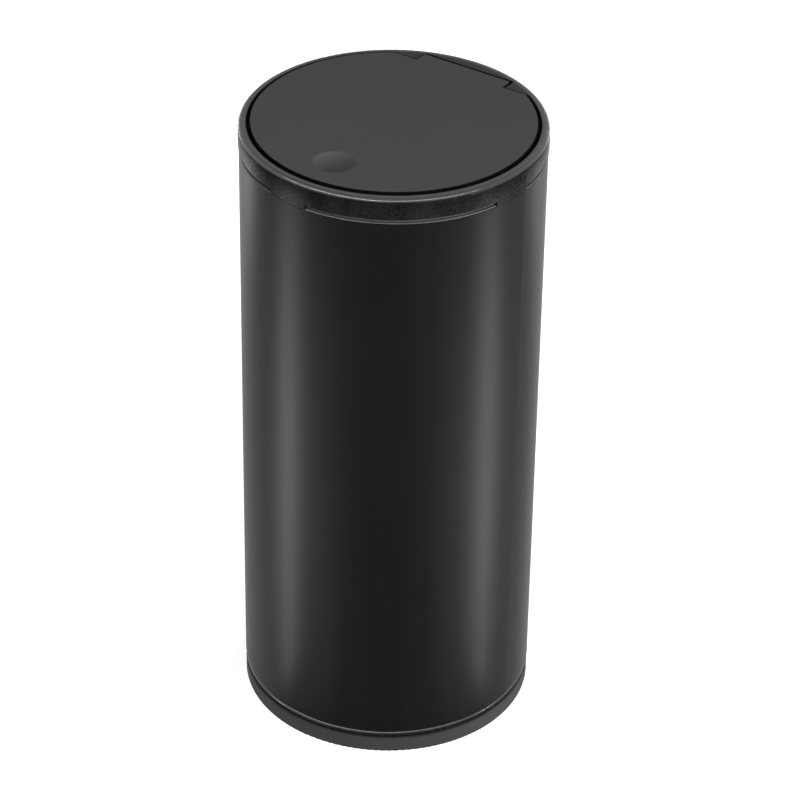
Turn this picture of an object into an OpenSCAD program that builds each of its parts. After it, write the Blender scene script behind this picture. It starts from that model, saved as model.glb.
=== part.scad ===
// Small cylindrical car trash bin with a press-to-open lid.
// Millimetres, +Z up, origin at the centre of the foot's underside.
// The hinge is at the back (+Y) and the thumb dish at the front (-Y).

/* [Tube] */
// Outside diameter of the metal tube
tube_d = 77.6; // [60:0.2:100]
// Wall thickness of the metal tube
tube_wall = 1.2; // [0.8:0.1:1.6]
// Length of the metal tube
tube_len = 157; // [120:1:200]
// Chamfer on the tube's outer end edges
tube_chamfer = 0.25; // [0.1:0.05:0.4]

/* [Foot and base plug] */
// How far the foot band stays inside the tube's outer face
foot_inset = 0.1; // [0:0.05:0.5]
// Rounding of the foot band's edges
foot_edge_r = 0.4; // [0.2:0.1:0.8]
// Height of the soft foot band
foot_h = 4.4; // [3.6:0.1:7]
// Radial thickness of the soft foot band
foot_wall = 1.75; // [1.2:0.05:2.2]
// Thickness of the foot's lip under the plug
foot_lip_t = 1.2; // [0.8:0.1:2]
// Width of the foot's lip under the plug
foot_lip_w = 6; // [4:0.5:10]
// Height of the groove above the foot band
groove_h = 0.9; // [0.5:0.1:1.5]
// Depth of the groove above the foot band
groove_depth = 0.8; // [0.4:0.1:1.2]
// Height of the bead above the groove
bead_h = 1.3; // [0.9:0.1:2]
// Height of the shadow gap under the tube
shadow_gap = 0.4; // [0.2:0.1:0.8]
// Height of the plug's spigot inside the tube
plug_spigot_h = 9; // [5:1:20]
// Wall thickness of the plug
plug_wall = 1.6; // [1.2:0.1:2.4]
// Thickness of the bin's floor
floor_t = 1.8; // [1.2:0.1:2.4]
// Height of the ribs under the floor
floor_rib_h = 1.6; // [0.8:0.1:2.2]
// Thickness of the ribs under the floor
floor_rib_t = 1.2; // [0.8:0.1:1.6]
// Number of radial ribs under the floor
floor_rib_count = 12; // [6:1:18]

/* [Rim collar] */
// Thickness of the collar's flange over the tube's rim
flange_t = 1.15; // [0.8:0.05:2]
// Depth of the collar inside the tube
collar_depth = 14; // [8:1:20]
// Wall thickness of the collar
collar_wall = 1.2; // [0.9:0.1:1.6]
// How far the flange's thin lip stays inside the ring's outer face
flange_inset = 0.1; // [0:0.05:0.4]
// Thickness of the flange's thin lip
flange_lip_t = 0.35; // [0.2:0.05:0.6]
// Width of the ledge on top of that lip
flange_ledge_w = 0.7; // [0.4:0.05:1]

/* [Top ring] */
// How far the ring's outer face stands out beyond the tube
ring_overhang = 0.2; // [0:0.05:1]
// Width of the ring's land round the lid's well
land_w = 2.4; // [2.1:0.1:5]
// Height of the ring above the collar's flange
ring_h = 5.75; // [5.5:0.05:8]
// Radius of the ring's rounded shoulder
shoulder_r = 1.2; // [0.8:0.1:1.8]
// Depth of the ring's spigot below the flange
spigot_depth = 13; // [8:1:18]
// Wall thickness of the ring's spigot
spigot_wall = 1.45; // [1:0.05:2]
// Running gap between the ring's spigot and the collar
spigot_gap = 0.3; // [0.2:0.05:0.5]
// Number of key lugs on the ring's lower edge
lug_count = 4; // [2:1:6]
// Angle that one key lug covers
lug_arc = 16; // [8:1:30]
// Angle from the front to the first lug's left side
lug_start = -16; // [-30:1:0]

/* [Lid] */
// Thickness of the lid's plate
lid_t = 2; // [1.6:0.1:2.4]
// Gap round the lid's edge
lid_gap = 0.4; // [0.3:0.05:0.8]
// How far the lid stands above the ring
lid_proud = 0.4; // [0:0.1:0.8]
// Travel left under the lid for the press that opens it
press_travel = 1; // [0.6:0.1:1.4]
// Rounding of the lid's top edge
lid_edge_r = 0.35; // [0.1:0.05:0.6]
// Radius of the thumb dish at the surface
dish_r = 5.4; // [3:0.2:7]
// Depth of the thumb dish
dish_depth = 1; // [0.5:0.1:1.2]
// Distance of the thumb dish's centre from the lid's edge
dish_inset = 10; // [8:0.2:16]
// Height of the ribs under the lid
lid_rib_h = 1.8; // [1:0.1:2.4]
// Thickness of the ribs under the lid
lid_rib_t = 1.1; // [0.8:0.1:1.6]

/* [Hinge] */
// How far the lid's straight hinge edge is cut in from its round edge
chord_inset = 6.4; // [5:0.1:9]
// Half width of the lid's hinge tab
tab_half = 12.9; // [10:0.1:15]
// Gap at each end of the hinge tab
tab_gap = 0.6; // [0.3:0.1:1]
// Rounding of the hinge tab's rear edge
tab_edge_r = 0.5; // [0.3:0.1:1]
// Gap between the lid's straight edge and the ears
ear_gap = 0.9; // [0.4:0.1:1]
// Radius of the hinge barrel
barrel_r = 2; // [1.8:0.05:2.2]
// Radius of the hinge pin
pin_r = 0.8; // [0.6:0.05:0.9]
// Length of the hinge pin
pin_len = 33.6; // [28:0.2:36]
// Radius of the spring's wire
spring_wire_r = 0.25; // [0.15:0.05:0.3]
// Number of turns of the hinge spring
spring_turns = 8; // [4:1:10]
// Length of the spring's coil along the pin
spring_len = 7.2; // [6:0.2:9]

/* [Latch] */
// Distance of the latch's centre from the ring's inner wall
latch_inset = 3.9; // [3.7:0.1:6]
// Half width of the latch plunger
plunger_half = 2.9; // [2.6:0.1:3.4]
// Thickness of the latch plunger
plunger_t = 3.4; // [3:0.1:3.8]
// Height of the plunger's body below its jaws
plunger_h = 8; // [7.6:0.1:10]
// Sliding gap round the plunger
slide_gap = 0.2; // [0.1:0.05:0.3]
// Wall thickness of the latch case
case_wall = 1.2; // [0.8:0.1:1.6]
// Room under the plunger for its spring
spring_room = 5; // [4.6:0.2:9]
// Radius of the latch spring's coil
latch_coil_r = 1.3; // [1.1:0.05:1.6]
// Radius of the latch spring's wire
latch_wire_r = 0.2; // [0.15:0.05:0.25]
// Number of turns of the latch spring
latch_turns = 5; // [3:1:8]
// Radius of the wire that follows the heart track
follower_r = 0.3; // [0.2:0.05:0.35]
// Depth of the heart track in the plunger
track_depth = 0.9; // [0.6:0.1:1.2]
// Shank radius of the latch screws
screw_r = 0.8; // [0.6:0.05:1]
// Length of the latch screws under the head
screw_len = 3.6; // [3:0.1:5]

/* [Hidden] */
$fn = 96;

// A hair's gap between pieces that are pressed together
press_gap = 0.05;
// A small overlap that joins solids or clears a cut
eps = 0.05;
// How deep a piece reaches into a curved wall that it joins
join = 0.5;
// Lead-in at the ends of the spigots and the collar
lead_in = 0.4;
lead_h = 1.2;
far = 100;

// Radii of the tube and of what fits in it
tube_r = tube_d / 2;
tube_ri = tube_r - tube_wall;
plug_r = tube_ri - press_gap;
collar_ri = plug_r - collar_wall;
spigot_r = collar_ri - spigot_gap;
spigot_ri = spigot_r - spigot_wall;
ring_r = tube_r + ring_overhang;
foot_r = tube_r - foot_inset;
flange_r = ring_r - flange_inset;

// Heights from the ground up
groove_z = foot_h;
bead_z = groove_z + groove_h;
tube_z = bead_z + bead_h + shadow_gap;
tube_top = tube_z + tube_len;
ring_z = tube_top + flange_t + press_gap;
land_z = ring_z + ring_h - press_gap;
lid_top = land_z + lid_proud;
lid_z = lid_top - lid_t;
ledge_z = lid_z - press_travel;
spigot_z = tube_top - spigot_depth;

// The key lugs and the turning room beside them
lug_ri = plug_r + 0.2;
lug_z = tube_top + press_gap;
lug_spare = 0.5;

// The base plug and its floor
skirt_r = foot_r - foot_wall - press_gap;
skirt_w = 2;
rib_foot_z = foot_lip_t + press_gap;
floor_z = rib_foot_z + floor_rib_h;
floor_corner = 1;
rib_ring_r = [skirt_r * 0.35, skirt_r * 0.7];
seat_r = foot_r - 0.45;
bead_r = bead_h / 2;

// The lid and the well it lies in
well_r = ring_r - land_w;
well_chamfer = 0.3;
lid_r = well_r - lid_gap;
dish_y = lid_r - dish_inset;
chord_y = lid_r - chord_inset;
chord_bevel = 1;
ear_y = chord_y + ear_gap;
ear_x = tab_half + tab_gap;
rib_r = spigot_ri - 0.9;
rib_z = lid_z - lid_rib_h;
// The inner ribs' step below the outer one, and the room left round what lies between the ribs
rib_step = 0.6;
rib_gap = 0.6;

// The hinge: the barrel's top lies flush with the lid's top
pin_y = chord_y + barrel_r;
pin_z = lid_top - barrel_r;
bay_gap = 0.4;
bay_floor_t = 1;
bay_z = pin_z - barrel_r - bay_gap;
bay_wall = 1;
bay_wall_y = chord_y - bay_gap - bay_wall;
// The bay's back wall, clear of the tab's rear edge as it swings
tab_sweep_r = norm([barrel_r - tab_edge_r, barrel_r - tab_edge_r]) + tab_edge_r;
bay_back_y = pin_y + tab_sweep_r + 0.3;
pin_bore_gap = 0.05;
pocket_half = spring_len / 2 + 1;
coil_gap = 0.2;
coil_r = pin_r + coil_gap + spring_wire_r;
pocket_r = coil_r + spring_wire_r + 0.15;
leg_z = pin_z - coil_r;
leg_reach = 4;
leg_y = bay_wall_y - leg_reach;
leg_hole_r = spring_wire_r + coil_gap;
leg_hole_y = pin_y - coil_r;
leg_slot_half = 0.6;
// The pad under the lid that the spring's leg pushes on
pad_half = 1;
pad_len = 3;
pad_gap = 0.1;

// The latch, from its jaws down
latch_y = spigot_ri - latch_inset;
jaw_top = ledge_z - 1.2;
hook_t = 0.8;
head_h = 1.9;
head_half = 1.7;
head_taper = 0.5;
neck_half = 0.9;
jaw_gap = 0.3;
jaw_room = 0.6;
jaw_lead = 0.4;
jaw_corner = 0.8;
jaw_z = jaw_top - hook_t - head_h - 2 * jaw_gap - jaw_room;
plunger_z = jaw_z - plunger_h;
spring_seat = 0.02;
nub_r = latch_coil_r - latch_wire_r - 0.3;
nub_h = 1.5;
plunger_y0 = -latch_y - plunger_t / 2;
plunger_y1 = -latch_y + plunger_t / 2;
slot_half = plunger_half + slide_gap;
case_half = slot_half + case_wall;
case_back = plunger_y0 - slide_gap - case_wall;
wire_gap = 0.1;
wire_y = plunger_y1 + wire_gap + follower_r;
cover_y = wire_y + follower_r + wire_gap;
cover_t = 1;
case_bottom_t = 1.5;
case_floor = plunger_z - spring_room;
case_z = case_floor - case_bottom_t;
wall_top = jaw_z + 1.2;

// The cover's two arms, which snap behind the case's nibs
nib_out = 0.5;
nib_len = 1;
nib_w = 3;
nib_y = cover_y - 2.2;
arm_t = 0.6;
arm_w = nib_w + 1.2;
arm_rise = 6.5;
arm_z = case_z + arm_rise;
arm_x = case_half + nib_out + press_gap;
arm_hook = 0.9;

// The latch's side flanges, their screws and the ring's bosses
flange_w = 4.4;
flange_d = 4.2;
flange_h = 1.2;
screw_free = 0.15;
screw_spare = 0.2;
screw_x = case_half + flange_w / 2;
screw_y = -latch_y;
boss_z = wall_top + press_gap;
boss_top = ledge_z - 1.3;
screw_head_r = 1.5;
screw_head_h = 1;
screw_point = 0.6;
head_edge = 0.3;
cross_w = 0.36;

// The heart track on the plunger's inner face; the wire's tip rests in the heart's cleft
heart_rise = 3.6;
heart_z = plunger_z + heart_rise;
heart_half = 1.1;
heart_point = -1.6;
lobe_h = 0.45;
cleft_h = 0.9;
track_half = 2.2;
track_way = 0.8;
track_low = -1;
track_high = 1.4;
over_room = 1;
funnel_low = -2.6;
tip_z = heart_z + cleft_h + follower_r;
latch_travel = 3.5;
track_foot = cleft_h - latch_travel - 0.6;
// The follower's two bent ends, and the height of its foot in the case
bend_len = wire_gap + follower_r + track_depth - 0.3;
wire_foot_z = case_z + 0.5 + follower_r;
wire_slot = follower_r + 2 * wire_gap;

// The strike under the lid
strike_t = 1;
strike_half = 6;
strike_y0 = -latch_y - 2.4;
strike_y1 = -latch_y + 2.4;
strike_screw_x = 4.2;
strike_screw_len = 2.2;
strike_screw_r = 0.7;
strike_head_r = 1.3;
strike_head_h = 0.7;
tongue_inset = 0.2;

// Colours
alloy_black = [0.07, 0.07, 0.075];
ring_black = [0.1, 0.1, 0.1];
lid_grey = [0.22, 0.22, 0.23];
foot_grey = [0.2, 0.2, 0.2];
steel = [0.7, 0.7, 0.72];
acetal_black = [0.08, 0.08, 0.08];
part_black = [0.06, 0.06, 0.06];

// A ring of rectangular section
module band(r0, r1, z0, z1) {
    translate([0, 0, z0])
        difference() {
            cylinder(r = r1, h = z1 - z0);
            translate([0, 0, -1])
                cylinder(r = r0, h = z1 - z0 + 2);
        }
}

// A block given by its two corners
module block(low, high) {
    translate(low)
        cube(high - low);
}

// The same piece on the +X side and mirrored on the -X side
module both_sides() {
    for (m = [0, 1])
        mirror([m, 0, 0])
            children();
}

// A cylinder along X, centred on the hinge's axis
module on_hinge(r, len) {
    translate([0, pin_y, pin_z])
        rotate([0, 90, 0])
            cylinder(r = r, h = len, center = true);
}

// A wire swept along points by rings of six corners, each ring square to its direction
function unit(v) = v / norm(v);
function heading(path, i) =
    unit(path[min(i + 1, len(path) - 1)] - path[max(i - 1, 0)]);
function wire_ring(centre, dir, side, r, sides) =
    let (u = unit(side - dir * (side * dir)), v = cross(dir, u))
    [for (k = [0:sides - 1]) centre + r * (cos(360 * k / sides) * u + sin(360 * k / sides) * v)];
function wire_points(path, side, r, sides) =
    [for (i = [0:len(path) - 1]) each wire_ring(path[i], heading(path, i), side, r, sides)];
function wire_quad(a, b, c, d) = [[a, b, c], [a, c, d]];
function wire_faces(n, sides) = concat(
    [[for (k = [0:sides - 1]) k]],
    [for (i = [0:n - 2]) for (k = [0:sides - 1])
        each wire_quad(i * sides + k, (i + 1) * sides + k,
            (i + 1) * sides + (k + 1) % sides, i * sides + (k + 1) % sides)],
    [[for (k = [sides - 1:-1:0]) (n - 1) * sides + k]]);

module wire(path, side, r, sides = 6) {
    polyhedron(points = wire_points(path, side, r, sides),
        faces = wire_faces(len(path), sides), convexity = 8);
}

module body_tube() {
    color(alloy_black)
        rotate_extrude()
            polygon([
                [tube_ri, tube_z], [tube_r - tube_chamfer, tube_z],
                [tube_r, tube_z + tube_chamfer], [tube_r, tube_top - tube_chamfer],
                [tube_r - tube_chamfer, tube_top], [tube_ri, tube_top]
            ]);
}

// The soft band that the bin stands on, with two grip grooves in its lip
module foot_ring() {
    lip_r = foot_r - foot_lip_w;
    grip_w = 0.6;
    grip_depth = foot_lip_t / 3;
    color(foot_grey)
        difference() {
            rotate_extrude()
                union() {
                    translate([foot_r - foot_wall, 0])
                        square([foot_wall - foot_edge_r, foot_h]);
                    translate([foot_r - foot_edge_r - eps, foot_edge_r])
                        square([foot_edge_r + eps, foot_h - 2 * foot_edge_r]);
                    for (z = [foot_edge_r, foot_h - foot_edge_r])
                        translate([foot_r - foot_edge_r, z])
                            circle(r = foot_edge_r, $fn = 32);
                    translate([lip_r, 0])
                        square([foot_lip_w - foot_wall + eps, foot_lip_t]);
                }
            for (r = [lip_r + foot_lip_w / 3, lip_r + 2 * foot_lip_w / 3])
                band(r - grip_w / 2, r + grip_w / 2, -1, grip_depth);
        }
}

module base_plug() {
    spigot_top = tube_z + plug_spigot_h;
    color(ring_black) {
        rotate_extrude()
            union() {
                polygon([
                    [0, floor_z], [0, floor_z + floor_t],
                    [plug_r - plug_wall - floor_corner, floor_z + floor_t],
                    [plug_r - plug_wall, floor_z + floor_t + floor_corner],
                    [plug_r - plug_wall, spigot_top], [plug_r - lead_in, spigot_top],
                    [plug_r, spigot_top - lead_h], [plug_r, tube_z],
                    [seat_r, tube_z], [seat_r, bead_z],
                    [foot_r - groove_depth, bead_z], [foot_r - groove_depth, groove_z + press_gap],
                    [skirt_r, groove_z + press_gap], [skirt_r, rib_foot_z],
                    [skirt_r - skirt_w, rib_foot_z], [skirt_r - skirt_w, floor_z]
                ]);
                translate([foot_r - bead_r, bead_z + bead_r])
                    circle(r = bead_r, $fn = 48);
            }
        for (r = rib_ring_r)
            band(r - floor_rib_t / 2, r + floor_rib_t / 2, rib_foot_z, floor_z + eps);
        for (k = [0:floor_rib_count - 1])
            rotate([0, 0, k * 360 / floor_rib_count])
                block([rib_ring_r[0], -floor_rib_t / 2, rib_foot_z],
                    [skirt_r - skirt_w / 2, floor_rib_t / 2, floor_z + eps]);
    }
}

// One arc for each key lug, from the angle given after the lug's left side
module sectors(first, arc, r0, r1, z0, z1) {
    for (k = [0:lug_count - 1])
        rotate([0, 0, -90 + lug_start + first + k * 360 / lug_count])
            rotate_extrude(angle = arc)
                translate([r0, z0])
                    square([r1 - r0, z1 - z0]);
}

module rim_collar() {
    nose_r = flange_lip_t / 2;
    step_r = flange_r - flange_ledge_w;
    collar_z = tube_top - collar_depth;
    color(part_black)
        difference() {
            rotate_extrude()
                union() {
                    polygon([
                        [collar_ri, collar_z + lead_h], [collar_ri + lead_in, collar_z],
                        [plug_r - lead_in, collar_z], [plug_r, collar_z + lead_h],
                        [plug_r, tube_top], [flange_r - nose_r, tube_top],
                        [flange_r - nose_r, tube_top + flange_lip_t],
                        [step_r, tube_top + flange_lip_t], [step_r, tube_top + flange_t],
                        [collar_ri, tube_top + flange_t]
                    ]);
                    translate([flange_r - nose_r, tube_top + nose_r])
                        circle(r = nose_r, $fn = 48);
                }
            sectors(-lug_spare, lug_arc + 2 * lug_spare, tube_ri, ring_r + 1, tube_top - 1, ring_z + 1);
        }
}

// The ring's section: shoulder, land, lid well, ledge and spigot
module ring_section() {
    union() {
        difference() {
            union() {
                polygon([
                    [spigot_ri, ring_z], [lug_ri, ring_z], [lug_ri, lug_z], [ring_r, lug_z],
                    [ring_r, land_z - shoulder_r], [ring_r - shoulder_r, land_z], [spigot_ri, land_z]
                ]);
                translate([ring_r - shoulder_r, land_z - shoulder_r])
                    circle(r = shoulder_r, $fn = 96);
            }
            translate([0, ledge_z])
                square([well_r, far]);
            translate([well_r - eps, land_z - well_chamfer])
                polygon([
                    [0, 0], [0, 2 * well_chamfer],
                    [2 * well_chamfer + eps, 2 * well_chamfer], [eps, 0]
                ]);
        }
        polygon([
            [spigot_ri, ring_z + eps], [spigot_r, ring_z + eps],
            [spigot_r, spigot_z + lead_h], [spigot_r - lead_in, spigot_z], [spigot_ri, spigot_z]
        ]);
    }
}

// The trough behind the mouth that holds the hinge, and the land carried on round it
module hinge_bay() {
    intersection() {
        translate([0, 0, bay_z - bay_floor_t])
            cylinder(r = spigot_ri + join, h = far);
        block([-far, bay_wall_y, bay_z - bay_floor_t], [far, far, ledge_z]);
    }
    intersection() {
        translate([0, 0, ring_z + join])
            cylinder(r = well_r + join, h = far);
        block([-far, ear_y, ring_z + join], [far, far, land_z]);
    }
}

// What is cut from the trough: its room, the pin's bore, and the ways of the spring's two legs
module hinge_bay_cut() {
    block([-ear_x, bay_wall_y + bay_wall, bay_z], [ear_x, bay_back_y, 3 * far]);
    on_hinge(pin_r, pin_len + 2 * coil_gap);
    translate([-spring_len / 2, leg_hole_y, bay_z - 2 * bay_floor_t])
        cylinder(r = leg_hole_r, h = 3 * bay_floor_t, $fn = 32);
    block([spring_len / 2 - leg_slot_half, bay_wall_y - 1, leg_z - spring_wire_r - 0.3],
        [spring_len / 2 + leg_slot_half, bay_wall_y + bay_wall + 1, 3 * far]);
}

// Bosses on the ring's inner wall that take the latch screws
module latch_bosses() {
    intersection() {
        cylinder(r = spigot_ri + join, h = 3 * far);
        both_sides()
            difference() {
                block([screw_x - flange_w / 2, -far, boss_z],
                    [screw_x + flange_w / 2, screw_y + flange_d / 2, boss_top]);
                translate([screw_x, screw_y, boss_z - 1])
                    cylinder(r = screw_r + press_gap / 2,
                        h = 1 + screw_len - flange_h + screw_spare, $fn = 32);
            }
    }
}

module top_ring() {
    color(ring_black) {
        difference() {
            union() {
                rotate_extrude()
                    ring_section();
                hinge_bay();
            }
            hinge_bay_cut();
            sectors(lug_arc, 360 / lug_count - lug_arc, lug_ri - 2 * eps, ring_r + 1, tube_top - 1, ring_z);
        }
        latch_bosses();
    }
}

module hinge_pin() {
    r = pin_r - pin_bore_gap / 2;
    edge = pin_r / 4;
    color(steel)
        translate([-pin_len / 2, pin_y, pin_z])
            rotate([0, 90, 0])
                rotate_extrude()
                    polygon([
                        [0, 0], [r - edge, 0], [r, edge],
                        [r, pin_len - edge], [r - edge, pin_len], [0, pin_len]
                    ]);
}

// Torsion spring round the pin: one leg in the bay's floor, one under the lid
module lid_spring() {
    step = 30;
    last = 360 * spring_turns + 270;
    path = concat(
        [[-spring_len / 2, leg_hole_y, bay_z - 0.8 * bay_floor_t],
         [-spring_len / 2, leg_hole_y, pin_z - coil_r / 3]],
        [for (a = [0:step:last])
            [-spring_len / 2 + spring_len * a / last,
             pin_y + coil_r * cos(180 - a), pin_z + coil_r * sin(180 - a)]],
        [[spring_len / 2, leg_y, leg_z]]);
    color(steel)
        wire(path, [1, 0, 0.02], spring_wire_r);
}

module latch_case() {
    color(acetal_black)
        difference() {
            union() {
                block([-case_half, case_back, case_z], [case_half, cover_y, wall_top]);
                block([-case_half - flange_w, screw_y - flange_d / 2, wall_top - flange_h],
                    [case_half + flange_w, screw_y + flange_d / 2, wall_top]);
                both_sides()
                    block([case_half - eps, nib_y - nib_len, arm_z - nib_w / 2],
                        [case_half + nib_out, nib_y, arm_z + nib_w / 2]);
            }
            block([-slot_half, plunger_y0 - slide_gap, case_floor],
                [slot_half, cover_y + 1, wall_top + 1]);
            both_sides()
                translate([screw_x, screw_y, wall_top - flange_h - 1])
                    cylinder(r = screw_r + screw_free, h = flange_h + 2, $fn = 32);
            block([-wire_slot, wire_y - follower_r - wire_gap, wire_foot_z - follower_r - wire_gap],
                [wire_slot, cover_y + 1, case_floor + 1]);
            translate([0, wire_y, wire_foot_z])
                rotate([90, 0, 0])
                    cylinder(r = follower_r + wire_gap, h = bend_len + 0.5, $fn = 32);
        }
}

// Snap-on cover over the latch case's open side, with an arm and hook on each side
module latch_cover() {
    color(part_black) {
        block([-case_half, cover_y + press_gap, case_z], [case_half, cover_y + cover_t, wall_top - flange_h]);
        both_sides() {
            block([case_half - join, cover_y + press_gap, arm_z - arm_w / 2],
                [arm_x + arm_t, cover_y + cover_t, arm_z + arm_w / 2]);
            block([arm_x, nib_y - nib_len - press_gap - arm_hook, arm_z - arm_w / 2],
                [arm_x + arm_t, cover_y + cover_t, arm_z + arm_w / 2]);
            block([case_half + press_gap, nib_y - nib_len - press_gap - arm_hook, arm_z - arm_w / 2],
                [arm_x + eps, nib_y - nib_len - press_gap, arm_z + arm_w / 2]);
        }
    }
}

module latch_spring() {
    step = 30;
    last = 360 * latch_turns;
    z0 = case_floor + latch_wire_r + spring_seat;
    z1 = plunger_z - latch_wire_r - spring_seat;
    color(steel)
        wire([for (a = [0:step:last])
                [latch_coil_r * cos(a), -latch_y + latch_coil_r * sin(a), z0 + (z1 - z0) * a / last]],
            [0, 0, 1], latch_wire_r);
}

// Wire follower: its foot pivots in the case and its tip rides the heart track
module cam_wire() {
    color(steel) {
        translate([0, wire_y, wire_foot_z])
            cylinder(r = follower_r, h = tip_z - wire_foot_z, $fn = 32);
        for (z = [wire_foot_z, tip_z])
            translate([0, wire_y, z]) {
                sphere(r = follower_r, $fn = 32);
                rotate([90, 0, 0])
                    cylinder(r = follower_r, h = bend_len, $fn = 32);
            }
    }
}

module heart() {
    difference() {
        union() {
            for (x = [-heart_half / 2, heart_half / 2])
                translate([x, lobe_h])
                    circle(r = heart_half / 2 + eps, $fn = 32);
            polygon([[-heart_half, lobe_h - 0.1], [heart_half, lobe_h - 0.1], [0, heart_point]]);
        }
        translate([0, cleft_h])
            circle(r = follower_r + spring_seat, $fn = 32);
    }
}

// The looping track: in at the foot, round the heart, with room above it for the over-travel
module heart_track() {
    difference() {
        union() {
            polygon([
                [-track_half, track_low], [-track_half, track_high],
                [track_way - track_half, track_high], [track_way - track_half, track_high + over_room],
                [track_half - track_way, track_high + over_room], [track_half - track_way, track_high],
                [track_half, track_high], [track_half, track_low],
                [track_way, funnel_low], [track_way, track_foot],
                [-track_way, track_foot], [-track_way, funnel_low]
            ]);
        }
        heart();
    }
}

// Plunger with two spring jaws that close round the strike's head
module latch_plunger() {
    inner = head_half + jaw_gap;
    mouth = neck_half + jaw_gap;
    color(acetal_black)
        difference() {
            union() {
                translate([0, plunger_y1, 0])
                    rotate([90, 0, 0])
                        linear_extrude(plunger_t)
                            polygon([
                                [-plunger_half, plunger_z], [plunger_half, plunger_z],
                                [plunger_half, jaw_top - jaw_lead], [plunger_half - jaw_lead, jaw_top],
                                [mouth + jaw_lead, jaw_top], [mouth, jaw_top - jaw_lead],
                                [mouth, jaw_top - hook_t], [inner, jaw_top - hook_t],
                                [inner, jaw_z + jaw_corner], [inner - jaw_corner, jaw_z],
                                [jaw_corner - inner, jaw_z], [-inner, jaw_z + jaw_corner],
                                [-inner, jaw_top - hook_t], [-mouth, jaw_top - hook_t],
                                [-mouth, jaw_top - jaw_lead], [-mouth - jaw_lead, jaw_top],
                                [jaw_lead - plunger_half, jaw_top], [-plunger_half, jaw_top - jaw_lead]
                            ]);
                translate([0, -latch_y, plunger_z - nub_h])
                    cylinder(r = nub_r, h = nub_h + join, $fn = 32);
            }
            translate([0, plunger_y1 + eps, heart_z])
                rotate([90, 0, 0])
                    linear_extrude(track_depth + eps)
                        heart_track();
        }
}

// Pan-head screw whose head's underside is at the origin, pointing up
module screw(r, len, head_r, head_h) {
    difference() {
        rotate_extrude()
            polygon([
                [0, -head_h], [head_r - head_edge, -head_h], [head_r, head_edge - head_h],
                [head_r, 0], [r, 0], [r, len - screw_point], [r * 0.4, len], [0, len]
            ]);
        for (turn = [0, 90])
            rotate([0, 0, turn])
                block([-head_r * 0.6, -cross_w / 2, -head_h - 1], [head_r * 0.6, cross_w / 2, -head_h / 2]);
    }
}

module latch_screw(side) {
    color(steel)
        translate([side * screw_x, screw_y, wall_top - flange_h - press_gap / 2])
            screw(screw_r, screw_len, screw_head_r, screw_head_h);
}

module latch_screw_left() {
    latch_screw(-1);
}

module latch_screw_right() {
    latch_screw(1);
}

module lid_disc() {
    rotate_extrude()
        union() {
            translate([0, lid_z])
                square([lid_r - lid_edge_r, lid_t]);
            translate([0, lid_z])
                square([lid_r, lid_t - lid_edge_r]);
            translate([lid_r - lid_edge_r, lid_top - lid_edge_r])
                circle(r = lid_edge_r, $fn = 48);
        }
}

// The lid's straight edge, undercut so that it clears the ears as it swings up
module chord_cut() {
    rotate([90, 0, 90])
        linear_extrude(2 * far, center = true)
            polygon([
                [chord_y - chord_bevel * (1 + 1 / lid_t), lid_z - 1], [chord_y, lid_top],
                [chord_y, lid_top + 1], [far, lid_top + 1], [far, lid_z - 1]
            ]);
}

module lid_ribs() {
    difference() {
        intersection() {
            union() {
                band(rib_r - lid_rib_t, rib_r, rib_z, lid_z + eps);
                band(rib_r * 0.45 - lid_rib_t, rib_r * 0.45, rib_z + rib_step, lid_z + eps);
                for (turn = [0, 60, 120])
                    rotate([0, 0, turn])
                        block([lid_rib_t / 2 - rib_r, -lid_rib_t / 2, rib_z + rib_step],
                            [rib_r - lid_rib_t / 2, lid_rib_t / 2, lid_z + eps]);
            }
            block([-far, -far, rib_z - 1], [far, bay_wall_y - rib_gap, lid_z + eps]);
        }
        block([-screw_x - flange_w / 2 - rib_gap, -far, rib_z - 1],
            [screw_x + flange_w / 2 + rib_gap, strike_y1 + rib_gap, lid_z]);
    }
}

// The hinge tab: the barrel, with the lid's top carried back over it to a rounded edge
module hinge_tab() {
    edge = barrel_r - tab_edge_r;
    rotate([90, 0, 90])
        linear_extrude(2 * tab_half, center = true)
            union() {
                translate([bay_wall_y - 1, lid_z])
                    square([pin_y - bay_wall_y + 1 + edge, lid_t]);
                translate([pin_y, pin_z]) {
                    circle(r = barrel_r);
                    square([barrel_r, edge]);
                    translate([edge, edge])
                        circle(r = tab_edge_r, $fn = 32);
                }
            }
}

module lid_panel() {
    dish_sphere = (dish_r * dish_r + dish_depth * dish_depth) / (2 * dish_depth);
    color(lid_grey)
        difference() {
            union() {
                difference() {
                    lid_disc();
                    chord_cut();
                }
                hinge_tab();
                lid_ribs();
                block([spring_len / 2 - pad_half, leg_y - pad_len / 6, leg_z + spring_wire_r + pad_gap],
                    [spring_len / 2 + pad_half, leg_y + pad_len * 5 / 6, lid_z + eps]);
            }
            on_hinge(pin_r + pin_bore_gap, 4 * tab_half);
            on_hinge(pocket_r, 2 * pocket_half);
            block([-pocket_half, pin_y - barrel_r - 1, pin_z - barrel_r - 1],
                [pocket_half, pin_y + barrel_r + 1, pin_z]);
            translate([0, -dish_y, lid_top + dish_sphere - dish_depth])
                sphere(r = dish_sphere, $fn = 200);
            both_sides()
                translate([strike_screw_x, -latch_y, lid_z - 1])
                    cylinder(r = strike_screw_r + press_gap / 2,
                        h = 1 + strike_screw_len - strike_t + screw_spare, $fn = 32);
        }
}

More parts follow.
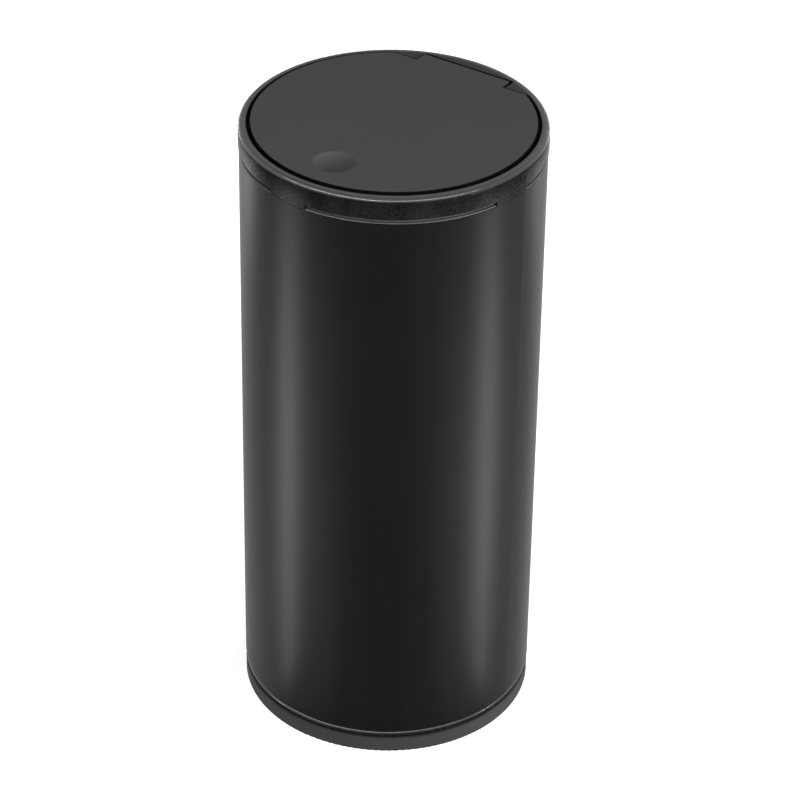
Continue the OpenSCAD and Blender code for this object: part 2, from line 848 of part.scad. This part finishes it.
// The tongue under the lid that the latch's jaws hold
module lid_strike() {
    top = lid_z - press_gap / 2;
    under = top - strike_t;
    head_z = jaw_top - hook_t - jaw_gap;
    color(acetal_black)
        difference() {
            union() {
                block([-strike_half, strike_y0, under], [strike_half, strike_y1, top]);
                translate([0, plunger_y1 - tongue_inset, 0])
                    rotate([90, 0, 0])
                        linear_extrude(plunger_t - 2 * tongue_inset)
                            polygon([
                                [-neck_half, under + eps], [-neck_half, head_z], [-head_half, head_z],
                                [-head_half, head_z - head_taper], [-head_taper, head_z - head_h],
                                [head_taper, head_z - head_h], [head_half, head_z - head_taper],
                                [head_half, head_z], [neck_half, head_z], [neck_half, under + eps]
                            ]);
            }
            both_sides()
                translate([strike_screw_x, -latch_y, under - 1])
                    cylinder(r = strike_screw_r + screw_free, h = strike_t + 2, $fn = 32);
        }
}

module strike_screw(side) {
    color(steel)
        translate([side * strike_screw_x, -latch_y, lid_z - press_gap - strike_t])
            screw(strike_screw_r, strike_screw_len, strike_head_r, strike_head_h);
}

module strike_screw_left() {
    strike_screw(-1);
}

module strike_screw_right() {
    strike_screw(1);
}

body_tube();
rim_collar();
base_plug();
foot_ring();
top_ring();
hinge_pin();
lid_spring();
latch_case();
latch_cover();
latch_spring();
cam_wire();
latch_screw_left();
latch_screw_right();
lid_panel();
lid_strike();
strike_screw_left();
strike_screw_right();
latch_plunger();
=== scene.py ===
import math

import bpy
from mathutils import Matrix, Vector


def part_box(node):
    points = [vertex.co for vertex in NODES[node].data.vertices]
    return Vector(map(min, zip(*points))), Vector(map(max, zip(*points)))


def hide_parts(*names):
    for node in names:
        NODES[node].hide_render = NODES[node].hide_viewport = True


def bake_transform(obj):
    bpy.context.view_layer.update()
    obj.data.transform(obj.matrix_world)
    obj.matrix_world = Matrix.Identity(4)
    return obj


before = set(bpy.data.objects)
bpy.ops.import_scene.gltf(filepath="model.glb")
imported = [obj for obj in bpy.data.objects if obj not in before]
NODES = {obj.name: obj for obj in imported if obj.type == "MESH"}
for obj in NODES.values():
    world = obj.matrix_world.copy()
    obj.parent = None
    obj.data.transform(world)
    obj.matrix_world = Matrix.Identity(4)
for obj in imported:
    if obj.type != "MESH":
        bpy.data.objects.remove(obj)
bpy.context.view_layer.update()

SCENE = bpy.context.scene
WHITE = (1, 1, 1, 1)

# Sizes that the frame gives
TUBE_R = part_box("body_tube")[1].x
RING_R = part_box("top_ring")[1].x
RING_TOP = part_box("top_ring")[1].z
LID_R = -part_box("lid_panel")[0].y
PIN = (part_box("hinge_pin")[0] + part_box("hinge_pin")[1]) / 2
PIN_Y, PIN_Z = PIN.y, PIN.z

# Camera: a long lens in front of the bin, to the right of the lid's thumb dish, as the photograph is.
# Its place and roll, and its aim's small offset in the picture, were fitted to the rims in the photograph.
AZIMUTH = math.radians(33.45)
ELEVATION = math.radians(33.72)
ROLL = math.radians(0.82)
DISTANCE = 0.8795
LENS_MM, SENSOR_MM = 150.46, 36.0
NEAR_CLIP = 0.01
TARGET = Vector((0.0, 0.0, 0.0868))
AIM_RIGHT, AIM_UP = 0.002627, 0.00046

# Studio: the floor's glow rises from the first level to the second between these distances from the
# bin. The background shows white, but lights the bin at its own low level.
FLOOR_HALF = 6.0
FLOOR_GLOW, FAR_GLOW = 0.64, 0.93
GLOW_NEAR, GLOW_FAR = 0.3, 0.9
WORLD_LEVEL = 0.15
LAMP_AIM = Vector((0, 0, 0.09))

# Each lamp's azimuth from the camera's and its elevation in degrees, its distance, width and height
# in metres, its power in watts, and whether gloss shows it
LAMPS = {
    "top_left": (-50, 47, 0.9, 1.00, 0.08, 3.1, True),
    "top_right": (24, 47, 0.9, 1.00, 0.08, 2.4, True),
    "low_front": (36, 14, 1.0, 0.30, 0.30, 17.5, False),
    "back_left": (-148, 2, 1.0, 0.30, 0.30, 10.0, False),
    "back_right": (148, 2, 1.0, 0.30, 0.30, 12.0, False),
}

# A low panel's strength at distances from the tube's wall
STREAK = ((0.016, 14.0), (0.055, 25.0), (0.11, 37.0), (0.20, 42.0),
          (0.237, 42.0), (0.247, 14.0), (0.38, 4.0))
FILL = ((0.016, 2.5), (0.06, 3.5), (0.20, 4.0), (0.223, 0.8), (0.38, 0.5))
RIM = ((0.252, 0.0), (0.266, 7.0), (0.320, 7.0), (0.340, 0.0))
# The streaks' panels lie a little above the others, which they overlap
STREAK_Z, PANEL_Z = 0.005, 0.004

# Each low panel's azimuth on the tube and half its wedge's angle in degrees, its height and its strengths
PANELS = {
    "streak_left": (-42.6, 4.4, STREAK_Z, STREAK),
    "streak_right": (40.3, 5.2, STREAK_Z, STREAK),
    "fill_left": (-27, 22, PANEL_Z, FILL),
    "fill_right": (27, 22, PANEL_Z, FILL),
    "rim_left": (-66, 10, PANEL_Z, RIM),
    "rim_right": (66, 6, PANEL_Z, RIM),
}


def placed(name, data):
    """A new object in the scene."""
    thing = bpy.data.objects.new(name, data)
    SCENE.collection.objects.link(thing)
    return thing


def make_camera():
    back = Vector((math.sin(AZIMUTH) * math.cos(ELEVATION),
                   -math.cos(AZIMUTH) * math.cos(ELEVATION), math.sin(ELEVATION)))
    place = TARGET + back * DISTANCE
    right = (-back).cross(Vector((0, 0, 1))).normalized()
    up = right.cross(-back)
    c, s = math.cos(ROLL), math.sin(ROLL)
    right, up = c * right + s * up, c * up - s * right
    ahead = (TARGET + right * AIM_RIGHT + up * AIM_UP - place).normalized()
    right = (right - ahead * right.dot(ahead)).normalized()
    up = right.cross(ahead)
    data = bpy.data.cameras.new("camera")
    data.lens = LENS_MM
    data.sensor_width = SENSOR_MM
    data.clip_start = NEAR_CLIP
    camera = placed("camera", data)
    camera.matrix_world = Matrix.Translation(place) @ Matrix((
        (right.x, up.x, -ahead.x, 0), (right.y, up.y, -ahead.y, 0),
        (right.z, up.z, -ahead.z, 0), (0, 0, 0, 1)))
    SCENE.camera = camera


class Nodes:
    """The node tree of a material or of the world, with short calls for the nodes used here.

    A value may be a plain number or colour, or another node's output."""

    def __init__(self, owner, output="ShaderNodeOutputMaterial"):
        owner.use_nodes = True
        self.owner = owner
        self.tree = owner.node_tree
        self.tree.nodes.clear()
        self.out = self.tree.nodes.new(output)
        self.coords = self.tree.nodes.new("ShaderNodeTexCoord")

    def give(self, socket, value):
        if isinstance(value, bpy.types.NodeSocket):
            self.tree.links.new(value, socket)
        else:
            socket.default_value = value

    def node(self, kind, **inputs):
        """A node with some of its inputs given, where a name's spaces are written as underscores."""
        made = self.tree.nodes.new(kind)
        for key, value in inputs.items():
            self.give(made.inputs[key.replace("_", " ")], value)
        return made

    def surface(self, **inputs):
        """The finished material, a principled surface with these inputs."""
        self.give(self.out.inputs[0], self.node("ShaderNodeBsdfPrincipled", **inputs).outputs[0])
        return self.owner

    def mapped(self, scale):
        return self.node("ShaderNodeMapping", Scale=scale, Vector=self.coords.outputs["Object"]).outputs[0]

    def noise(self, scale, detail=2.0, rough=0.5, at=None):
        return self.node("ShaderNodeTexNoise", Scale=scale, Detail=detail, Roughness=rough,
                         Vector=at or self.coords.outputs["Object"]).outputs["Fac"]

    def grains(self, scale):
        cells = self.tree.nodes.new("ShaderNodeTexVoronoi")
        cells.feature = "SMOOTH_F1"
        for key, value in (("Scale", scale), ("Smoothness", 0.6), ("Vector", self.coords.outputs["Object"])):
            self.give(cells.inputs[key], value)
        return cells.outputs["Distance"]

    def span(self, value, low, high, start=0.0, end=1.0):
        """A value that goes from low to high as the given one goes from start to end, and no further."""
        return self.node("ShaderNodeMapRange", Value=value, From_Min=start, From_Max=end,
                         To_Min=low, To_Max=high).outputs[0]

    def rise(self, value, start, end):
        """A mask that is 0 up to start and 1 from end on."""
        return self.span(value, 0.0, 1.0, start, end)

    def colours(self, value, *stops):
        ramp = self.tree.nodes.new("ShaderNodeValToRGB")
        elements = ramp.color_ramp.elements
        while len(elements) < len(stops):
            elements.new(0.5)
        for element, (place, colour) in zip(elements, stops):
            element.position = place
            element.color = (*colour, 1)
        self.give(ramp.inputs[0], value)
        return ramp.outputs[0]

    def operation(self, kind, operation, values):
        made = self.tree.nodes.new(kind)
        made.operation = operation
        for socket, value in zip(made.inputs, values):
            self.give(socket, value)
        return made.outputs

    def maths(self, operation, *values):
        return self.operation("ShaderNodeMath", operation, values)[0]

    def vectors(self, operation, *values, output="Value"):
        return self.operation("ShaderNodeVectorMath", operation, values)[output]

    def product(self, first, *others):
        for other in others:
            first = self.maths("MULTIPLY", first, other)
        return first

    def weighted(self, *pairs):
        """The sum of some values, each times its share."""
        total, *others = [self.product(value, share) for value, share in pairs]
        for other in others:
            total = self.maths("ADD", total, other)
        return total

    def part(self, output, axis):
        """One axis of the piece's own coordinates or normals."""
        return self.node("ShaderNodeSeparateXYZ", Vector=self.coords.outputs[output]).outputs[axis]

    def upward(self):
        """How far the surface faces up."""
        return self.part("Normal", "Z")

    def off_axis(self):
        """Distance from the bin's upright axis."""
        flat = self.vectors("MULTIPLY", self.coords.outputs["Object"], (1, 1, 0), output="Vector")
        return self.vectors("LENGTH", flat)

    def mix(self, factor, a, b):
        """Colour a where the factor is 0 and colour b where it is 1."""
        m = self.tree.nodes.new("ShaderNodeMix")
        m.data_type = "RGBA"
        # the colour sockets have the same names as the number ones, so they go by their places
        for place, value in ((0, factor), (6, a), (7, b)):
            self.give(m.inputs[place], value)
        return m.outputs[2]

    def bump(self, height, strength, distance):
        return self.node("ShaderNodeBump", Height=height, Strength=strength, Distance=distance).outputs[0]

    def seen(self):
        """1 for a ray from the camera, gloss or glass, and 0 for one that carries light to a surface."""
        path = self.tree.nodes.new("ShaderNodeLightPath")
        ray = path.outputs["Is Camera Ray"]
        for other in ("Is Glossy Ray", "Is Transmission Ray"):
            ray = self.maths("MAXIMUM", ray, path.outputs[other])
        return ray


def new_material(name):
    return Nodes(bpy.data.materials.new(name))


def grey(level):
    return (level, level, level)


def mottled(name, level, spread, rough, rough_spread, specular, grain, relief):
    """A surface of one grey with fine grain: its colour, gloss and relief vary a little."""
    n = new_material(name)
    mixed = n.weighted((n.noise(38.0, 3.0, 0.55), 0.35), (n.noise(grain, 3.0, 0.6), 0.65))
    return n.surface(
        Base_Color=n.colours(mixed, (0.30, grey(level * (1 - spread))), (0.52, grey(level)),
                             (0.74, grey(level * (1 + spread)))),
        Roughness=n.span(mixed, rough - rough_spread, rough + rough_spread, 0.3, 0.7),
        Specular_IOR_Level=specular,
        Normal=n.bump(n.grains(grain * 1.3), 0.5, relief))


def inner_finish():
    """Plainer black plastic of the inner mouldings."""
    return mottled("inner_black", 0.042, 0.15, 0.40, 0.05, 0.3, 2600.0, 0.00004)


def rubber_finish():
    """Soft matte foot band."""
    return mottled("foot_rubber", 0.022, 0.18, 0.72, 0.05, 0.15, 2600.0, 0.00006)


def acetal_finish():
    """Slippery black plastic of the latch and its tongue."""
    return mottled("acetal", 0.030, 0.15, 0.45, 0.06, 0.5, 1800.0, 0.00002)


def tube_finish():
    """Satin black paint on drawn aluminium: nearly smooth, with a very fine, even speckle."""
    n = new_material("tube_alloy")
    speck = n.noise(5200.0, 2.0, 0.6)
    cloud = n.noise(26.0, 2.0, 0.5)
    drawn = n.noise(240.0, 2.0, 0.5, n.mapped((1, 1, 0.02)))
    mixed = n.weighted((speck, 0.6), (cloud, 0.2), (drawn, 0.2))
    return n.surface(
        Base_Color=n.colours(mixed, (0.35, (0.0011, 0.0010, 0.0013)), (0.50, (0.0019, 0.0018, 0.0022)),
                             (0.66, (0.0034, 0.0032, 0.0038))),
        Roughness=n.span(mixed, 0.35, 0.41, 0.35, 0.65),
        Specular_IOR_Level=0.047,
        Specular_Tint=(0.97, 0.95, 1.0, 1),
        Normal=n.bump(speck, 0.25, 0.00002))


def moulded_finish():
    """Black plastic: grained walls, smoother on the ring's shoulder, and painted light grey where it lies
    flat, for the light that flat tops catch.
    """
    n = new_material("moulded_black")
    pits = n.grains(2900.0)
    fine = n.noise(6000.0, 2.0, 0.6)
    cloud = n.noise(160.0, 3.0, 0.6, n.mapped((1, 1, 0.35)))
    mixed = n.weighted((pits, 0.45), (fine, 0.25), (cloud, 0.30))
    black = n.colours(mixed, (0.30, grey(0.0008)), (0.42, grey(0.0024)), (0.58, grey(0.0075)))
    # painted light: faces that lie flat get this grey instead of the black, standing in for the light they
    # catch from above
    top_grey = n.colours(mixed, (0.30, (0.043, 0.044, 0.046)), (0.58, (0.049, 0.050, 0.052)))
    painted_flat_light = n.rise(n.upward(), 0.90, 0.98)

    # the ring's outermost 2 mm turns over its shoulder, where it faces neither outward nor straight up
    shoulder = n.rise(n.off_axis(), RING_R - 0.0020, RING_R - 0.0017)
    turned = n.product(shoulder, n.rise(n.upward(), 0.20, 0.50), n.span(n.upward(), 1.0, 0.2, 0.82, 0.97))

    # fingers polish the ring's lower wall, where it is gripped to lift it
    gripped = n.span(n.part("Object", "Z"), 1.20, 0.15, RING_TOP - 0.0089, RING_TOP - 0.0014)
    worn = n.product(n.span(turned, 0.033, 0.0), gripped, n.span(mixed, 0.5, 1.5, 0.30, 0.58))
    return n.surface(
        Base_Color=n.mix(painted_flat_light, black, top_grey),
        Roughness=n.maths("SUBTRACT", n.span(mixed, 0.24, 0.29, 0.30, 0.60), n.product(turned, 0.10)),
        Specular_IOR_Level=n.maths("ADD", n.span(turned, 0.0, 0.95), worn),
        Normal=n.bump(mixed, n.span(turned, 0.38, 0.03), 0.00018))


def lid_finish():
    """A soft-touch matte grey coat on the lid's top; its rim and underside stay bare plastic, the rim
    painted near black as shade of the gap round the lid.
    """
    n = new_material("lid_matte")
    tooth = n.noise(4200.0, 3.0, 0.6)
    mixed = n.weighted((n.noise(38.0, 3.0, 0.55), 0.35), (tooth, 0.65))
    top_grey = n.colours(mixed, (0.30, (0.062, 0.063, 0.066)), (0.52, (0.066, 0.067, 0.070)),
                     (0.74, (0.070, 0.071, 0.075)))

    # the rounded rim and its side are painted near black, darker than the same bare plastic underneath, as
    # painted shade of the gap round the lid; the underside and its ribs a little greyer
    black = n.colours(mixed, (0.30, grey(0.001)), (0.70, grey(0.003)))
    plain = n.colours(mixed, (0.30, grey(0.014)), (0.70, grey(0.020)))
    rim = n.product(n.rise(n.off_axis(), LID_R - 0.0012, LID_R - 0.0005), n.rise(n.upward(), -0.6, -0.3))

    # the coat stops at the round rim's edge, but runs on over the hinge tab behind it
    inside = n.maths("MAXIMUM", n.span(n.off_axis(), 1.0, 0.0, LID_R - 0.00042, LID_R - 0.00030),
                     n.rise(n.part("Object", "Y"), PIN_Y - 0.0024, PIN_Y - 0.0018))
    coated = n.product(inside, n.rise(n.upward(), 0.55, 0.75))
    return n.surface(
        Base_Color=n.mix(coated, n.mix(rim, plain, black), top_grey),
        Roughness=n.span(mixed, 0.58, 0.66, 0.3, 0.7),
        Specular_IOR_Level=0.006,
        Normal=n.bump(tooth, 0.3, 0.00002))


def steel_finish(name, level, rough, scale):
    """Drawn or plated steel with fine lines, which run the way that the hinge pin does."""
    n = new_material(name)
    lines = n.noise(scale, 3.0, 0.6, n.mapped((0.06, 1, 1)))
    mixed = n.weighted((lines, 0.7), (n.noise(90.0, 2.0, 0.5), 0.3))
    return n.surface(
        Base_Color=n.colours(mixed, (0.3, grey(level * 0.8)), (0.7, grey(level * 1.1))),
        Metallic=1.0,
        Roughness=n.span(mixed, rough - 0.06, rough + 0.08, 0.3, 0.7),
        Normal=n.bump(lines, 0.2, 0.00001))


FINISH = {
    "tube_alloy": tube_finish(),
    "moulded_black": moulded_finish(),
    "inner_black": inner_finish(),
    "foot_rubber": rubber_finish(),
    "lid_matte": lid_finish(),
    "acetal": acetal_finish(),
    "steel_pin": steel_finish("steel_pin", 0.55, 0.28, 1500.0),
    "spring_steel": steel_finish("spring_steel", 0.42, 0.32, 2200.0),
    "zinc_screw": steel_finish("zinc_screw", 0.60, 0.38, 1800.0),
}
SLOTS = {
    "tube_alloy": ("body_tube",),
    "moulded_black": ("top_ring", "base_plug"),
    "inner_black": ("rim_collar", "latch_cover"),
    "foot_rubber": ("foot_ring",),
    "lid_matte": ("lid_panel",),
    "acetal": ("latch_case", "lid_strike", "latch_plunger"),
    "steel_pin": ("hinge_pin", "cam_wire"),
    "zinc_screw": ("latch_screw_left", "latch_screw_right", "strike_screw_left", "strike_screw_right"),
}


def dress_nodes():
    """Gives each solid of the frame its finish."""
    for slot, names in SLOTS.items():
        for name in names:
            mesh = NODES[name].data
            mesh.materials.clear()
            mesh.materials.append(FINISH[slot])
            for face in mesh.polygons:
                face.material_index = 0


def swept(name, path, radius, sides=12):
    """A round wire along a path, closed at both ends."""
    verts, faces = [], []
    # the first direction across the wire, which only mustn't run along it
    side = Vector((1.0, 0.02, 0.013)).normalized()
    for i, p in enumerate(path):
        ahead = (path[min(i + 1, len(path) - 1)] - path[max(i - 1, 0)]).normalized()
        side = (side - ahead * side.dot(ahead)).normalized()
        over = ahead.cross(side)
        for k in range(sides):
            a = 2 * math.pi * k / sides
            verts.append(p + radius * (math.cos(a) * side + math.sin(a) * over))
    for i in range(len(path) - 1):
        for k in range(sides):
            a, b = i * sides + k, i * sides + (k + 1) % sides
            faces.append((a, b, b + sides, a + sides))
    faces.append(tuple(range(sides - 1, -1, -1)))
    faces.append(tuple(range((len(path) - 1) * sides, len(path) * sides)))
    mesh = bpy.data.meshes.new(name)
    mesh.from_pydata(verts, [], faces)
    mesh.update()
    for f in mesh.polygons:
        f.use_smooth = len(f.vertices) == 4
    mesh.materials.append(FINISH["spring_steel"])
    o = placed(name, mesh)
    return o


def coil(place, turns, steps=28):
    """Points of a helix: place(t, angle) gives each one, t from 0 to 1."""
    count = int(turns * steps)
    return [place(i / count, 2 * math.pi * turns * i / count) for i in range(count + 1)]


def straight(start, end, count):
    """Evenly spaced points from start to end."""
    return [start.lerp(end, i / (count - 1)) for i in range(count)]


def floor_finish():
    """A pale floor that the lamps whiten near the bin and that glows nearly white further out."""
    n = new_material("floor")
    paint = n.colours(n.noise(3.0), (0.3, grey(0.60)), (0.7, grey(0.62)))
    lit = n.node("ShaderNodeBsdfDiffuse", Color=paint)
    shine = n.product(n.seen(), n.span(n.off_axis(), FLOOR_GLOW, FAR_GLOW, GLOW_NEAR, GLOW_FAR))
    glow = n.node("ShaderNodeEmission", Color=WHITE, Strength=shine)
    both = n.tree.nodes.new("ShaderNodeAddShader")
    for socket, part in zip(both.inputs, (lit, glow)):
        n.give(socket, part.outputs[0])
    n.give(n.out.inputs[0], both.outputs[0])
    return n.owner


def sheet(name, corners, material):
    """A flat four-sided piece of the studio."""
    mesh = bpy.data.meshes.new(name)
    mesh.from_pydata(corners, [], [(0, 1, 2, 3)])
    mesh.materials.append(material)
    return placed(name, mesh)


def make_floor():
    h = FLOOR_HALF
    floor = sheet("floor", [(-h, -h, 0), (h, -h, 0), (h, h, 0), (-h, h, 0)], floor_finish())


def make_world():
    """A background that is white to the eye and in gloss, and lights the bin only weakly."""
    n = Nodes(bpy.data.worlds.new("studio"), "ShaderNodeOutputWorld")
    back = n.node("ShaderNodeBackground", Color=WHITE, Strength=n.span(n.seen(), WORLD_LEVEL, 1.0))
    n.give(n.out.inputs[0], back.outputs[0])
    SCENE.world = n.owner


def across(azimuth):
    """The level direction at an azimuth counted from the camera's."""
    a = AZIMUTH + math.radians(azimuth)
    return Vector((math.sin(a), -math.cos(a), 0))


def low_panel(name, facing, spread, z, stops):
    """A wedge of light lying on the floor beside the bin, out of the camera's sight and casting no shadow.

    It runs out from the tube along the way that the camera's sight is thrown by the wall at the azimuth
    `facing`, so that the tube shows it as one straight streak there."""
    foot = across(facing) * TUBE_R + Vector((0, 0, z))
    out = across(2 * facing)
    side = out.cross(Vector((0, 0, 1))) * math.tan(math.radians(spread))
    near, reach = stops[0][0], stops[-1][0]
    corners = [foot + (out + side * sign) * t
               for t, sign in ((near, 1), (near, -1), (reach, -1), (reach, 1))]
    n = new_material(name)
    away = n.vectors("DISTANCE", n.coords.outputs["Object"], foot)
    peak = max(strength for _, strength in stops)
    ramp = [((t - near) / (reach - near), grey(strength / peak)) for t, strength in stops]
    light = n.node("ShaderNodeEmission", Color=n.colours(n.rise(away, near, reach), *ramp), Strength=peak)
    n.give(n.out.inputs[0], light.outputs[0])
    panel = sheet(name, corners, n.owner)
    panel.visible_camera = panel.visible_shadow = False


def softbox(name, azimuth, elevation, distance, width, height, watts, glossy):
    """A soft area lamp aimed at the bin, placed from the camera's own direction."""
    e = math.radians(elevation)
    back = across(azimuth) * math.cos(e) + Vector((0, 0, math.sin(e)))
    data = bpy.data.lights.new(name, "AREA")
    data.shape = "RECTANGLE"
    data.size, data.size_y = width, height
    data.energy = watts
    lamp = placed(name, data)
    lamp.location = LAMP_AIM + back * distance
    lamp.rotation_euler = back.to_track_quat("Z", "Y").to_euler()
    lamp.visible_glossy = glossy


make_camera()
dress_nodes()

# The hinge spring: one leg down into the ring's trough, one forward under the lid
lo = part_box("lid_spring")[0]
HINGE_WIRE, COIL_R, COIL_TURNS = 0.00025, 0.00125, 8.75
COIL_HALF = -lo.x - HINGE_WIRE
LOW_LEG_TOP, LID_LEG_BACK = PIN_Z - 0.0005, PIN_Y - 0.0014
low_leg = straight(Vector((-COIL_HALF, PIN_Y - COIL_R, lo.z)),
                   Vector((-COIL_HALF, PIN_Y - COIL_R, LOW_LEG_TOP)), 4)
turned = coil(lambda t, a: Vector((-COIL_HALF + 2 * COIL_HALF * t, PIN_Y + COIL_R * math.cos(math.pi - a),
                                   PIN_Z + COIL_R * math.sin(math.pi - a))), COIL_TURNS)
lid_leg = straight(Vector((COIL_HALF, LID_LEG_BACK, PIN_Z - COIL_R)),
                   Vector((COIL_HALF, lo.y, PIN_Z - COIL_R)), 5)
hinge_coil = swept("hinge_coil", low_leg + turned + lid_leg, HINGE_WIRE)
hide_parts("lid_spring")
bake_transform(hinge_coil)

# The latch spring, which stretches as the plunger rises on the real latch; here one fixed coil over the
# part's height
lo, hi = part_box("latch_spring")
LATCH_Y, WIRE, LATCH_TURNS = (lo.y + hi.y) / 2, 0.0002, 5
RISE_LOW, RISE_HIGH = lo.z + WIRE, hi.z - WIRE
LATCH_R = (hi.x - lo.x) / 2 - WIRE
latch_path = coil(lambda t, a: Vector((LATCH_R * math.cos(a), LATCH_Y + LATCH_R * math.sin(a),
                                       RISE_LOW + (RISE_HIGH - RISE_LOW) * t)), LATCH_TURNS)
latch_coil = swept("latch_coil", latch_path, WIRE)
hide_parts("latch_spring")
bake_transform(latch_coil)

make_floor()
make_world()
for name, lamp in LAMPS.items():
    softbox(name, *lamp)
for name, panel in PANELS.items():
    low_panel(name, *panel)
SCENE.view_settings.view_transform = "Standard"
